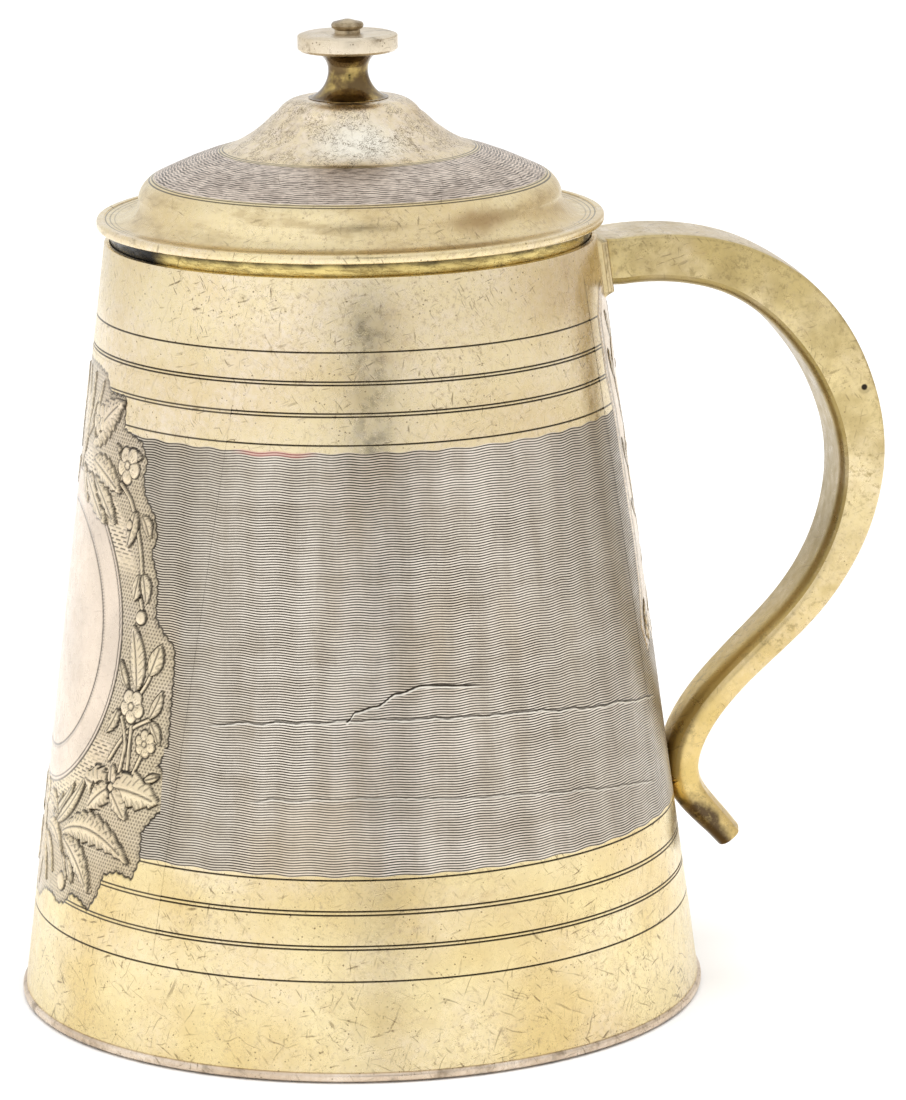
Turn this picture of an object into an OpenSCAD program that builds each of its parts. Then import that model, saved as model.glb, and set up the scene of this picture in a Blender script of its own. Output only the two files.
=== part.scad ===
// Lidded silver-gilt tankard: a tapered barrel, a hollow scroll handle and a lift-off domed lid
// with a turned knob.  Millimetres.  +Z is up, the handle stands out along +X, and the origin is
// the centre of the foot's lower face.

/* [Barrel] */
// Outer radius at the foot
foot_r = 52.4; // [48:0.1:58]
// Outer radius at the rim
rim_r = 37.3; // [34:0.1:42]
// Height of the rim above the table
barrel_h = 117.2; // [105:0.1:125]
// Thickness of the rolled wall
wall_t = 0.95; // [0.7:0.05:1.4]
// Thickness of the base disc
base_t = 1.2; // [0.8:0.1:2]
// Width of an engraved ring line
line_w = 0.28; // [0.15:0.01:0.4]
// Depth of an engraved ring line
line_d = 0.14; // [0.05:0.01:0.25]

/* [Foot wire] */
// Height of the wire under the barrel
foot_wire_h = 1.4; // [1:0.1:2]
// How far the wire stands proud of the barrel
foot_wire_proud = 0.35; // [0.1:0.05:0.6]
// Radial width of the wire
foot_wire_w = 3; // [2:0.1:4]

/* [Handle] */
// Width of the handle across its sides, at the top
handle_w = 14; // [11:0.5:16]
// Width of the handle at the tail
tail_w = 9; // [8:0.5:12]
// Sheet thickness of the hollow handle
handle_sheet = 0.9; // [0.7:0.1:1.2]
// Thickness of the strip that closes the handle's inner side
liner_t = 1.3; // [1:0.1:1.6]
// How far the chamfers on the inner side cut into the width
handle_chamfer = 1.8; // [1:0.1:2]
// Radius of the vent hole in the handle's side
vent_r = 0.45; // [0.3:0.05:0.6]

/* [Lid] */
// Radius of the lid's edge
lid_r = 38.4; // [36:0.1:43]
// Height of the lid's lower edge above the table
lid_z = 119.3; // [107:0.1:128]
// Sheet thickness of the lid
lid_t = 0.9; // [0.7:0.05:1.2]
// Thickness of the wire round the lid's edge
lid_wire_t = 1.4; // [1:0.1:1.8]
// How far the bezel reaches below the rim
bezel_depth = 4.6; // [3:0.1:8]
// Radial clearance of the tapered bezel in the mouth
bezel_clear = 0.04; // [0.02:0.01:0.1]

/* [Knob] */
// Radius of the knob's disc
disc_r = 7.55; // [6:0.05:9]
// Radius of the spool's waist
waist_r = 3; // [2.6:0.1:4]
// Radius of the rod that ties the knob to the lid
rod_r = 1.25; // [1:0.05:1.6]

/* [Hidden] */
$fn = 96;
gilt = "palegoldenrod";
silver = "silver";
slack = 0.01;             // running room between the rod and what it passes through
slope = (rim_r - foot_r) / barrel_h;
wall_z0 = foot_wire_h;    // the wall stands on the foot wire

// Outer radius of the barrel at height z.
function barrel_r(z) = foot_r + slope * z;
// Points of an arc in the r-z plane, in order from angle a0 to a1.
function arc(cr, cz, r, a0, a1, n = 8) =
    [for (i = [0 : n]) let (a = a0 + (a1 - a0) * i / n) [cr + r * cos(a), cz + r * sin(a)]];
function unit(v) = v / norm(v);
// A profile moved sideways by d, to the right of its direction of travel.
function moved(p, d) =
    [for (i = [0 : len(p) - 1])
        let (a = p[max(i - 1, 0)], b = p[min(i + 1, len(p) - 1)], u = unit(b - a))
        p[i] + d * [u.y, -u.x]];
function reversed(p) = [for (i = [len(p) - 1 : -1 : 0]) p[i]];

// Heights of the engraved ring lines: single, double, double, single above and below the wave band.
lower_lines = [14.75, 19.45, 19.97, 24.52, 25.09, 29.65];
upper_lines = [93.0, 97.14, 97.62, 101.74, 102.22, 106.45];

// A V-shaped notch in the barrel's outer line, from below to above height z.
function notch(z) = [[barrel_r(z - line_w / 2), z - line_w / 2],
                     [barrel_r(z) - line_d, z],
                     [barrel_r(z + line_w / 2), z + line_w / 2]];

module barrel() {
    lines = concat(lower_lines, upper_lines);
    outline = concat([[barrel_r(wall_z0) - wall_t, wall_z0], [barrel_r(wall_z0), wall_z0]],
                     [for (z = lines) each notch(z)],
                     [[rim_r, barrel_h], [rim_r - wall_t, barrel_h]]);
    color(gilt) rotate_extrude() polygon(outline);
}

module base_plate() {
    r = barrel_r(wall_z0 + base_t) - wall_t - 0.02;
    color(gilt) translate([0, 0, wall_z0]) cylinder(r = r, h = base_t);
}

// A flat ring with a rounded outer edge, lying under the wall and the base disc.
module foot_wire() {
    out_r = foot_r + foot_wire_proud;
    half = foot_wire_h / 2;
    edge = arc(out_r - half, half, half, -90, 90);
    color(silver) rotate_extrude()
        polygon(concat([[out_r - foot_wire_w, foot_wire_h], [out_r - foot_wire_w, 0]], edge));
}

// The handle's way from the rim to the tail: [x, z, thickness] of each station.
handle_way = [
    [34.5, 111.6, 7.3], [40.5, 112.8, 7.3], [46.5, 113.1, 7.4], [52.3, 112.5, 7.6],
    [57.8, 111.1, 7.9], [62.7, 108.6, 8.3], [67.0, 105.4, 8.7], [70.7, 101.3, 8.8],
    [73.8, 96.6, 8.5], [76.2, 91.2, 8.0], [77.8, 85.6, 7.5], [78.3, 79.8, 7.0],
    [77.6, 74.0, 6.5], [76.0, 68.4, 6.1], [73.4, 63.0, 5.6], [70.0, 58.0, 5.3],
    [65.8, 53.6, 5.0], [61.4, 49.6, 4.9], [57.3, 45.6, 4.9], [53.7, 41.4, 5.0],
    [51.1, 37.0, 5.2], [49.9, 32.6, 5.1], [50.8, 28.4, 4.8], [53.5, 25.0, 4.4],
    [56.8, 21.6, 3.9], [60.6, 16.6, 3.4], [63.8, 12.0, 3.1]];
way_steps = 3;

// Smooth curve through the neighbourhood of stations i to i + 3, u from 0 to 1.
function blend(i, u) =
    (pow(1 - u, 3) * handle_way[i] + (3 * pow(u, 3) - 6 * u * u + 4) * handle_way[i + 1]
     + (-3 * pow(u, 3) + 3 * u * u + 3 * u + 1) * handle_way[i + 2]
     + pow(u, 3) * handle_way[i + 3]) / 6;
way = [for (i = [0 : len(handle_way) - 4]) for (k = [0 : way_steps - 1]) blend(i, k / way_steps)];
way_last = len(way) - 1;

// Outward normal of the way at its station i, in the x-z plane.
function way_out(i) =
    let (a = way[max(i - 1, 0)], b = way[min(i + 1, way_last)], u = unit([b.x - a.x, b.y - a.y]))
    [-u.y, u.x];
// Half width at station i: full over the bow, narrowing down the lower limb.
function half_w(i) =
    let (f = i / way_last, g = max(0, min(1, (f - 0.3) / 0.7)))
    (handle_w + (tail_w - handle_w) * g) / 2;

// A solid along the way from the section points [outward, sideways] given for each station.
// cap splits the section into triangles for the two ends.
module loft(sections, cap) {
    n = len(sections[0]);
    points = [for (i = [0 : way_last]) let (o = way_out(i)) for (q = sections[i])
        [way[i].x + o.x * q.x, q.y, way[i].y + o.y * q.x]];
    sides = [for (i = [0 : way_last - 1]) for (k = [0 : n - 1])
        let (m = (k + 1) % n, a = i * n + k, b = i * n + m)
        each [[a, b, b + n], [a, b + n, a + n]]];
    far = way_last * n;
    ends = [for (c = cap) each [[c[2], c[1], c[0]], [far + c[0], far + c[1], far + c[2]]]];
    polyhedron(points, concat(sides, ends));
}

// The cone that the barrel fills, for trimming what is soldered to it.
module barrel_cone(extra = 0) {
    cylinder(r1 = foot_r + extra, r2 = rim_r + extra, h = barrel_h);
}

// Channel section at station i: the outer face and both sides.
function shell_section(i) =
    let (o = way[i].z / 2, w = half_w(i), n = -o + liner_t, t = handle_sheet, e = 0.4)
    [[n, -w], [n, -w + t], [o - t, -w + t], [o - t, w - t], [n, w - t], [n, w],
     [o - e, w], [o, w - e], [o, -w + e], [o - e, -w]];
shell_cap = [[0, 1, 2], [0, 2, 9], [2, 8, 9], [2, 3, 8], [3, 7, 8], [3, 6, 7], [3, 5, 6], [3, 4, 5]];
// Strip section that closes the channel, chamfered along both inner corners.
function liner_section(i) =
    let (o = way[i].z / 2, w = half_w(i), c = w - handle_chamfer * way[i].z / way[0].z)
    [[-o + liner_t, w], [-o + liner_t, -w], [-o, -c], [-o, c]];
liner_cap = [[0, 1, 2], [0, 2, 3]];

module handle_shell() {
    color(gilt) difference() {
        loft([for (i = [0 : way_last]) shell_section(i)], shell_cap);
        collar_body(collar_steps[2]);
        barrel_cone();
        // vent that lets the gas out while the strip is soldered on
        translate([78.2, -handle_w / 2 + 2, 91.8]) rotate([90, 0, 0]) cylinder(r = vent_r, h = 4);
    }
}

module handle_liner() {
    color(gilt) difference() {
        loft([for (i = [0 : way_last]) liner_section(i)], liner_cap);
        collar_body(collar_steps[2]);
        barrel_cone();
    }
}

// Plate that closes the hollow end of the tail, sunk between the channel's walls.
module handle_tail_plate() {
    plate_t = 0.8;
    inset = 0.02;
    at = way[way_last];
    o = way_out(way_last);
    t = at.z - handle_sheet - liner_t - 2 * inset;
    w = 2 * (half_w(way_last) - handle_sheet - inset);
    mid = (at.z / 2 - handle_sheet - inset) - t / 2;
    color(silver) translate([at.x + o.x * mid, 0, at.y + o.y * mid])
        rotate([0, -atan2(-o.x, o.y), 0]) translate([-plate_t - 0.1, -w / 2, -t / 2])
        cube([plate_t, w, t]);
}

// Stepped plate between the handle and the barrel: [half width, how far it stands out].
collar_steps = [[9.4, 0.5], [8.6, 1.0], [7.8, 1.5]];
collar_low = 107.7;

module collar_body(s) {
    intersection() {
        barrel_cone(s[1]);
        translate([0, -s[0], collar_low]) cube([60, 2 * s[0], barrel_h - 0.4 - collar_low]);
    }
}

module handle_collar() {
    color(gilt) difference() {
        union() for (s = collar_steps) collar_body(s);
        barrel_cone();
    }
}

// The lid's upper surface, from the crown out to the edge: a rounded crown, a hollow slope, the
// slightly domed wave band, an ovolo and a flat brim.
brim_z = lid_z + lid_wire_t - 0.1;
lid_profile = concat(
    [[rod_r + slack, 138.3], [6, 138.3]],
    arc(7, 133.85, 4.5, 82, 32, 6),
    arc(26.2, 149.5, 20.1, 224, 249, 6),
    [[22.2, 129.8], [25, 128.75], [27.6, 127.6]],
    arc(28.0, 122.9, 4.1, 62, 12, 6),
    arc(35.6, 124.2, 3.8, 186, 262, 6),
    [[lid_r - 1.2, brim_z]]);

module lid_cover() {
    under = moved(lid_profile, lid_t);
    last = under[len(under) - 1];
    hole = [for (i = [0 : 1]) [lid_profile[i].x, lid_profile[i].y - lid_t]];
    inner = concat(hole, [for (i = [2 : len(under) - 2]) under[i]],
                   [[lid_profile[len(lid_profile) - 1].x, last.y]]);
    color(gilt) rotate_extrude() polygon(concat(lid_profile, reversed(inner)));
}

// Half-round wire soldered round the brim.
module lid_rim_wire() {
    half = lid_wire_t / 2;
    edge = arc(lid_r - half, lid_z + half, half, -90, 90);
    color(gilt) rotate_extrude()
        polygon(concat([[lid_r - 1.2, lid_z + lid_wire_t], [lid_r - 1.2, lid_z]], edge));
}

// A tapered collar that wedges in the mouth and leaves the brim standing just above the rim.
module lid_bezel() {
    mouth_r = rim_r - wall_t - bezel_clear;
    rise = 0.19;               // how much the bezel widens for each millimetre of height
    low = barrel_h - bezel_depth;
    top = lid_z + 0.2;         // just under the brim
    t = 0.8;
    color(gilt) rotate_extrude()
        polygon([[mouth_r - rise * bezel_depth - t, low], [mouth_r - rise * bezel_depth, low],
                 [mouth_r, barrel_h], [mouth_r + rise * (top - barrel_h), top],
                 [mouth_r + rise * (top - barrel_h) - t, top], [mouth_r - t, barrel_h]]);
}

spool_z0 = 138.3;
disc_z0 = 145.4;
disc_h = 2.6;

// Waisted stem: a spreading foot, a narrow waist and a flare under the disc.
module knob_spool() {
    waist_z = 142.6;
    foot = arc(waist_r + 4.6, waist_z, 4.6, 247, 180, 8);
    head = arc(waist_r + 2.6, waist_z, 2.6, 172, 98, 8);
    color(gilt) rotate_extrude()
        polygon(concat([[rod_r + slack, spool_z0], [6.1, spool_z0]], foot, head,
                       [[waist_r + 2.6, disc_z0], [rod_r + slack, disc_z0]]));
}

module knob_disc() {
    color(gilt) rotate_extrude()
        polygon([[rod_r + slack, disc_z0], [disc_r - 1.6, disc_z0], [disc_r - 0.2, disc_z0 + 0.45],
                 [disc_r, disc_z0 + 0.8], [disc_r, disc_z0 + disc_h - 0.5],
                 [disc_r - 0.5, disc_z0 + disc_h - 0.1], [disc_r - 2, disc_z0 + disc_h + 0.1],
                 [rod_r + slack, disc_z0 + disc_h + 0.1]]);
}

washer_r = 5;
washer_t = 0.8;
nut_t = 2.2;
under_z = spool_z0 - lid_t;

// Rod with a domed head on the disc and a plain end inside the lid.
module knob_rod() {
    neck_z = disc_z0 + disc_h + 0.1;
    head = arc(0, neck_z - 0.65, 2.75, 30, 90, 6);
    low = under_z - washer_t - nut_t - 0.8;
    color(silver) rotate_extrude()
        polygon(concat([[0, low], [rod_r, low], [rod_r, neck_z], [2.2, neck_z], [2.45, neck_z + 0.5]],
                       head));
}

module knob_washer() {
    color(silver) translate([0, 0, under_z - washer_t]) difference() {
        cylinder(r = washer_r, h = washer_t);
        translate([0, 0, -1]) cylinder(r = rod_r + slack, h = washer_t + 2);
    }
}

// Square hand-filed nut.
module knob_nut() {
    side = 6;
    color(silver) translate([0, 0, under_z - washer_t - nut_t]) difference() {
        translate([-side / 2, -side / 2, 0]) cube([side, side, nut_t]);
        translate([0, 0, -1]) cylinder(r = rod_r + slack, h = nut_t + 2);
    }
}

barrel();
base_plate();
foot_wire();
handle_shell();
handle_liner();
handle_collar();
handle_tail_plate();
lid_cover();
lid_rim_wire();
lid_bezel();
knob_spool();
knob_disc();
knob_rod();
knob_washer();
knob_nut();
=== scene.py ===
"""Looks of the lidded tankard: parcel-gilt silver, wave-engraved, with a wreath cartouche."""

import math

import bpy
import numpy as np
from mathutils import Matrix, Vector


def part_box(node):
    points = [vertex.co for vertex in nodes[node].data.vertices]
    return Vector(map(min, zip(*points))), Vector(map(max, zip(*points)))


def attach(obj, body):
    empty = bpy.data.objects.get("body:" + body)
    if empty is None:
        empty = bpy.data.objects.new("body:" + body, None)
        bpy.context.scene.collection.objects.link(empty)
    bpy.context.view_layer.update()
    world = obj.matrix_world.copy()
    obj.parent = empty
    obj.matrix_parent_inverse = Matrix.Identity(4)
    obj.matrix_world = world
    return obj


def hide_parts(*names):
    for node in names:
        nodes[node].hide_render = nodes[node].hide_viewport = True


MM = 0.001
TAU = 2 * math.pi

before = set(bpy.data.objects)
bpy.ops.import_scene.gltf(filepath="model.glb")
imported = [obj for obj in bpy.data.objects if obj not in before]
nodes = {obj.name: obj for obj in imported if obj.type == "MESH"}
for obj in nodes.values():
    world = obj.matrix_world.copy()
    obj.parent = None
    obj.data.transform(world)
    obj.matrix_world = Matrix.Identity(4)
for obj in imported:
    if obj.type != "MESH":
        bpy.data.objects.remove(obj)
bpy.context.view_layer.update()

# ---------------------------------------------------------------- sizes taken from the frame (mm)


def box_mm(node):
    """Lowest and highest corner of a CAD node, in millimetres."""
    low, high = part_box(node)
    return np.array(low) / MM, np.array(high) / MM


BARREL_LOW, BARREL_HIGH = box_mm("barrel")
FOOT_LOW, FOOT_HIGH = box_mm("foot_wire")
RIM_WIRE_LOW, RIM_WIRE_HIGH = box_mm("lid_rim_wire")
SPOOL_LOW, SPOOL_HIGH = box_mm("knob_spool")
DISC_LOW, DISC_HIGH = box_mm("knob_disc")
ROD_LOW, ROD_HIGH = box_mm("knob_rod")
BEZEL_LOW, BEZEL_HIGH = box_mm("lid_bezel")
COLLAR_LOW, COLLAR_HIGH = box_mm("handle_collar")

RIM_R = 37.3                                 # outer radius at the rim
RIM_Z = BARREL_HIGH[2]
FOOT_R = (BARREL_HIGH[0] - RIM_R * BARREL_LOW[2] / RIM_Z) / (1 - BARREL_LOW[2] / RIM_Z)
SLOPE = (RIM_R - FOOT_R) / RIM_Z
WALL = 0.95
LID_R = RIM_WIRE_HIGH[0]
LID_Z = RIM_WIRE_LOW[2]
LID_SHEET = 0.9
LID_WIRE = 1.15                              # width of the wire round the lid
ROD_HOLE = 1.26                              # radius of the hole for the knob's rod
GROOVE_HALF, GROOVE_DEPTH = 0.16, 0.13       # ring lines

# heights of the engraved ring lines and of the wave band between them
LOWER_LINES = (14.75, 19.45, 19.97, 24.52, 25.09, 29.65)
UPPER_LINES = (93.0, 97.14, 97.62, 101.74, 102.22, 106.45)
WAVE_LOW, WAVE_HIGH = 30.1, 92.0
WAVE_PITCH = 0.377
WAVES_ROUND = 48

# cartouche opposite the handle
PLAQUE_Z = 59.5
CART_HALF = 38.5                             # half width along the surface
CART_LOW, CART_HIGH = 16.0, 101.2

# faults in the wave band: (from, to) and highest point in degrees round the barrel, height there,
# fall away from it, strength; and the crack's corners as (degrees, height)
CREASES = (((232.4, 339.6), 268, 53.1, 8.5, 0.75), ((241.0, 331.8), 262, 41.6, 9.0, 0.5))
CRACK = ((259.9, 52.9), (261.6, 54.4), (265.2, 55.1), (269.4, 56.9), (274.0, 57.8), (287.4, 57.1))
VENT = (78.2, 91.8)
TAIL_PATCH = (52.6, 22.4)

# engraved panel under the handle
REAR_HALF, REAR_LOW, REAR_HIGH = 21.0, 46.0, 113.0


def cone_r(z):
    """Outer radius of the barrel at height z."""
    return FOOT_R + SLOPE * z


# ---------------------------------------------------------------- mesh helpers


def new_object(name, verts, faces, material, body, replaced=(), attributes=None, smooth_angle=35,
               normals=None):
    """A mesh object in metres from millimetre vertices, riding on a body."""
    mesh = bpy.data.meshes.new(name)
    mesh.from_pydata((np.asarray(verts) * MM).tolist(), [], [list(map(int, f)) for f in faces])
    for key, values in (attributes or {}).items():
        layer = mesh.attributes.new(key, "FLOAT", "POINT")
        layer.data.foreach_set("value", np.asarray(values, dtype=np.float32))
    mesh.polygons.foreach_set("use_smooth", np.ones(len(mesh.polygons), dtype=bool))
    mesh.update()
    if normals is None:
        mesh.set_sharp_from_angle(angle=math.radians(smooth_angle))
    else:
        mesh.normals_split_custom_set_from_vertices(normals)
    mesh.materials.append(material)
    piece = bpy.data.objects.new(name, mesh)
    bpy.context.scene.collection.objects.link(piece)
    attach(piece, body)
    if replaced:
        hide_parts(*replaced)
    return piece


def arc(centre, radius, start, end, count=12):
    """Points of an arc from angle start to end, in degrees."""
    angles = np.radians(np.linspace(start, end, count + 1))
    return [(centre[0] + radius * math.cos(a), centre[1] + radius * math.sin(a)) for a in angles]


def rounded(points, closed=True, steps=5):
    """A profile whose corners (r, z, fillet) are rounded by their fillet radius."""
    out = []
    n = len(points)
    for i, point in enumerate(points):
        p = np.array(point[:2], float)
        fillet = point[2] if len(point) > 2 else 0
        if fillet <= 0 or (not closed and i in (0, n - 1)):
            out.append(tuple(p))
            continue
        a = np.array(points[i - 1][:2], float) - p
        b = np.array(points[(i + 1) % n][:2], float) - p
        la, lb = np.linalg.norm(a), np.linalg.norm(b)
        a, b = a / la, b / lb
        half = math.acos(np.clip(a @ b, -1, 1)) / 2
        cut = min(fillet / math.tan(half), 0.45 * la, 0.45 * lb)
        start, end = p + a * cut, p + b * cut
        for t in np.linspace(0, 1, steps + 1):
            out.append(tuple((1 - t) ** 2 * start + 2 * t * (1 - t) * p + t * t * end))
    return out


def revolve(name, profile, material, body, replaced=(), count=256, keep=None, **more):
    """A closed profile (r, z) turned about Z.  keep(points) says which faces stay."""
    angles = np.linspace(0, TAU, count, endpoint=False)
    verts, rings = [], []
    for r, z in profile:
        if r < 1e-6:
            rings.append([len(verts)] * count)
            verts.append((0, 0, z))
        else:
            start = len(verts)
            rings.append(list(range(start, start + count)))
            verts.extend((r * math.cos(a), r * math.sin(a), z) for a in angles)
    faces = []
    for low, high in zip(rings, rings[1:] + rings[:1]):
        if low[0] == low[1] and high[0] == high[1]:
            continue
        for k in range(count):
            m = (k + 1) % count
            face = [low[k], low[m], high[m], high[k]]
            if keep is None or keep([verts[v] for v in face]):
                faces.append([v for j, v in enumerate(face) if v != face[j - 1]])
    return new_object(name, verts, faces, material, body, replaced, **more)


# ---------------------------------------------------------------- material helpers


class Wire:
    """A number in a node graph; +, - and * on it add Math nodes."""

    def __init__(self, graph, socket):
        self.graph, self.socket = graph, socket

    def __add__(self, other):
        return self.graph.math("ADD", self, other)

    def __radd__(self, other):
        return self.graph.math("ADD", other, self)

    def __sub__(self, other):
        return self.graph.math("SUBTRACT", self, other)

    def __rsub__(self, other):
        return self.graph.math("SUBTRACT", other, self)

    def __mul__(self, other):
        return self.graph.math("MULTIPLY", self, other)

    def __rmul__(self, other):
        return self.graph.math("MULTIPLY", other, self)


def put(tree, value, socket):
    """Sets the socket to a number or a tuple, or links a wire or another socket to it."""
    if isinstance(value, (int, float, tuple)):
        socket.default_value = value
    else:
        tree.links.new(value.socket if isinstance(value, Wire) else value, socket)


def add_node(tree, kind, inputs, **settings):
    """A new node with its settings made and its inputs filled."""
    node = tree.nodes.new("ShaderNode" + kind)
    for name, value in settings.items():
        setattr(node, name, value)
    for key, value in inputs.items():
        put(tree, value, node.inputs[key])
    return node


class Graph:
    """Short names for building a node material; x, y, z and place are in millimetres."""

    def __init__(self, name):
        self.material = bpy.data.materials.new(name)
        self.material.use_nodes = True
        self.tree = self.material.node_tree
        self.tree.nodes.clear()
        self.shader = self.node("BsdfPrincipled", {"Metallic": 1.0})
        self.node("OutputMaterial", {"Surface": self.shader.outputs[0]})
        self.colour = None
        inputs = {0: self.node("TexCoord", {}).outputs["Object"], "Scale": 1 / MM}
        self.place = self.node("VectorMath", inputs, operation="SCALE").outputs[0]
        split = self.node("SeparateXYZ", {0: self.place})
        self.x, self.y, self.z = (Wire(self, socket) for socket in split.outputs)

    def node(self, kind, inputs, **settings):
        return add_node(self.tree, kind, inputs, **settings)

    def math(self, operation, a, b=0.0, clamp=False):
        node = self.node("Math", {0: a, 1: b}, operation=operation, use_clamp=clamp)
        return Wire(self, node.outputs[0])

    def sin(self, a):
        return self.math("SINE", a)

    def length(self, a, b):
        """Length of the flat vector (a, b)."""
        return self.math("SQRT", a * a + b * b)

    def smooth(self, value, low, high, out_low=0.0, out_high=1.0):
        """Smooth step of value from low..high to out_low..out_high."""
        inputs = {"Value": value, "From Min": low, "From Max": high, "To Min": out_low, "To Max": out_high}
        return Wire(self, self.node("MapRange", inputs, interpolation_type="SMOOTHSTEP").outputs[0])

    def band(self, value, centre, half, soft):
        """1 within half of centre, falling to 0 over soft."""
        distance = self.math("ABSOLUTE", value - centre)
        return self.smooth(distance, half, half + soft, 1.0, 0.0)

    def span(self, value, low, rising, falling, high):
        """Rises from 0 to 1 over low..rising and falls back over falling..high."""
        return self.smooth(value, low, rising) * self.smooth(value, falling, high, 1.0, 0.0)

    def rings(self, value, places, half, soft):
        """1 on each of the lines where value is one of the places."""
        first, *others = (self.band(value, place, half, soft) for place in places)
        return sum(others, first)

    def degrees(self, angle):
        """The angle in degrees, from 0 to 360."""
        return self.math("DIVIDE", self.math("MODULO", angle + TAU, TAU), math.radians(1))

    def patchy(self, low, high):
        """Roughness that wanders between low and high."""
        return self.smooth(self.noise(0.5, 4, None, 15.0), 0.2, 0.8, low, high)

    def noise(self, scale, detail=2.0, stretch=None, seed=0.0, rough=0.5, distort=0.0):
        """Noise over the object, scale per millimetre, optionally stretched."""
        inputs = {"Vector": self.moved(self.vector(stretch), seed), "Scale": scale, "Detail": detail,
                  "Roughness": rough, "Distortion": distort}
        return Wire(self, self.node("TexNoise", inputs).outputs[0])

    def moved(self, vector, seed):
        """The vector shifted by the seed, so that no two patterns are alike."""
        shift = (seed * 17.3, seed * 31.7, seed * 23.9)
        return self.node("VectorMath", {0: vector, 1: shift}).outputs[0]

    def vector(self, stretch=None):
        """The place, stretched by a tuple, or the vector that is given instead."""
        if isinstance(stretch, tuple):
            return self.node("VectorMath", {0: self.place, 1: stretch}, operation="MULTIPLY").outputs[0]
        return self.place if stretch is None else stretch

    def combine(self, x, y, z):
        return self.node("CombineXYZ", {0: x, 1: y, 2: z}).outputs[0]

    def cells(self, scale, seed=0.0, vector=None):
        """Distance to the nearest of scattered points."""
        inputs = {"Scale": scale, "Vector": self.moved(vector or self.place, seed)}
        flat = "3D" if vector is None else "2D"
        return Wire(self, self.node("TexVoronoi", inputs, voronoi_dimensions=flat).outputs["Distance"])

    def mix(self, amount, a, b):
        """Colour a to colour b by amount."""
        a, b = (value + (1.0,) if isinstance(value, tuple) else value for value in (a, b))
        return self.node("Mix", {0: amount, 6: a, 7: b}, data_type="RGBA").outputs[2]

    def paint(self, amount, colour):
        """Lays another colour over the surface's colour, by amount."""
        self.colour = self.mix(amount, self.colour, colour)

    def attribute(self, name):
        return Wire(self, self.node("Attribute", {}, attribute_name=name).outputs["Fac"])

    def bump(self, height, distance, strength=1.0, normal=None):
        """Bump of height times distance millimetres."""
        inputs = {"Distance": distance * MM, "Strength": strength, "Height": height}
        if normal is not None:
            inputs["Normal"] = normal
        return self.node("Bump", inputs).outputs[0]

    def finish(self, roughness, normal=None):
        put(self.tree, self.colour, self.shader.inputs["Base Color"])
        put(self.tree, roughness, self.shader.inputs["Roughness"])
        if normal is not None:
            put(self.tree, normal, self.shader.inputs["Normal"])
        return self.material


# linear colours
GOLD = (0.81, 0.68, 0.375)
DEEP_GOLD = (0.70, 0.54, 0.25)
OLIVE_GOLD = (0.56, 0.44, 0.20)
SILVER = (0.74, 0.70, 0.63)
PINK_SILVER = (0.86, 0.75, 0.625)
INK = (0.030, 0.024, 0.018)
TARNISH = (0.13, 0.085, 0.04)


def strokes(g, u, v, turn, length, width, seed):
    """Short fine scratches at one slant, scattered over the u, v surface in millimetres."""
    c, n = math.cos(math.radians(turn)), math.sin(math.radians(turn))
    along = u * c + v * n
    across = v * c - u * n
    bent = across + g.noise(0.22, 2, None, seed) * 1.6
    place = g.combine(along * (1 / length), bent * (1 / (length * 0.3)), seed)
    distance = g.cells(1.0, seed, place)
    fine = g.combine(along * (0.6 / length), bent * (1 / width), seed + 3)
    thin = g.smooth(g.noise(1.0, 0, fine, seed), 0.69, 0.76)
    return g.smooth(distance, 0.12, 0.4, 1.0, 0.0) * thin


def wear(g, around=None):
    """Scratches and pits shared by every worn surface: (dark marks, height)."""
    u = g.x if around is None else around
    v = g.z + g.y * 0.35 if around is None else g.z
    lines = strokes(g, u, v, 17, 3.0, 0.36, 1.3) + strokes(g, u, v, -52, 2.4, 0.3, 5.2)
    lines = lines + strokes(g, u, v, 83, 2.6, 0.34, 9.4)
    curls = g.band(g.noise(0.35, 3, None, 1.3, 0.6, 1.2), 0.5, 0.001, 0.006)
    where = g.smooth(g.noise(0.07, 3, None, 8.0), 0.44, 0.62)
    lines = (lines + curls * 0.7) * (where * 0.6 + 0.4)
    crowd = g.smooth(g.noise(0.11, 3, None, 5.5), 0.42, 0.58)
    pits = g.smooth(g.cells(1.0, 2.0), 0.07, 0.16, 1.0, 0.0) * crowd
    specks = g.smooth(g.cells(0.4, 3.0), 0.03, 0.075, 1.0, 0.0)
    dots = g.smooth(g.cells(1.9, 7.0), 0.08, 0.17, 1.0, 0.0)
    dots = dots * g.smooth(g.noise(0.2, 3, None, 6.5), 0.5, 0.62)
    holes = (pits + specks) * 0.9 + dots * 0.6
    marks = g.math("ADD", lines * 0.8, holes, clamp=True)
    height = g.noise(0.35, 3, None, 6.0) * 0.6 - marks * 0.5
    return marks, height


def gilt_colour(g, worn, light=GOLD, deep=DEEP_GOLD):
    """Gilding, paler where it is worn, deeper in cloudy patches, with a few brown stains."""
    cloud = g.noise(0.045, 3, None, 3.0)
    colour = g.mix(g.smooth(cloud, 0.36, 0.68), light, deep)
    fine = g.noise(0.9, 4, None, 9.0, 0.65)
    rubbed = g.math("MULTIPLY", g.smooth(fine, 0.35, 0.75, 0.5, 1.0), worn, clamp=True)
    colour = g.mix(rubbed, colour, PINK_SILVER)
    grain = g.smooth(g.noise(1.2, 5, None, 29.0, 0.78), 0.5, 0.69)
    grain = grain * g.smooth(g.noise(0.05, 3, None, 28.0), 0.42, 0.62, 0.14, 0.68)
    colour = g.mix(grain, colour, (0.42, 0.32, 0.20))
    stain = g.smooth(g.noise(0.075, 4, (1, 1, 1.6), 19.0, 0.6), 0.62, 0.8, 0.0, 0.4)
    return g.mix(stain, colour, (0.40, 0.25, 0.11))


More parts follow.
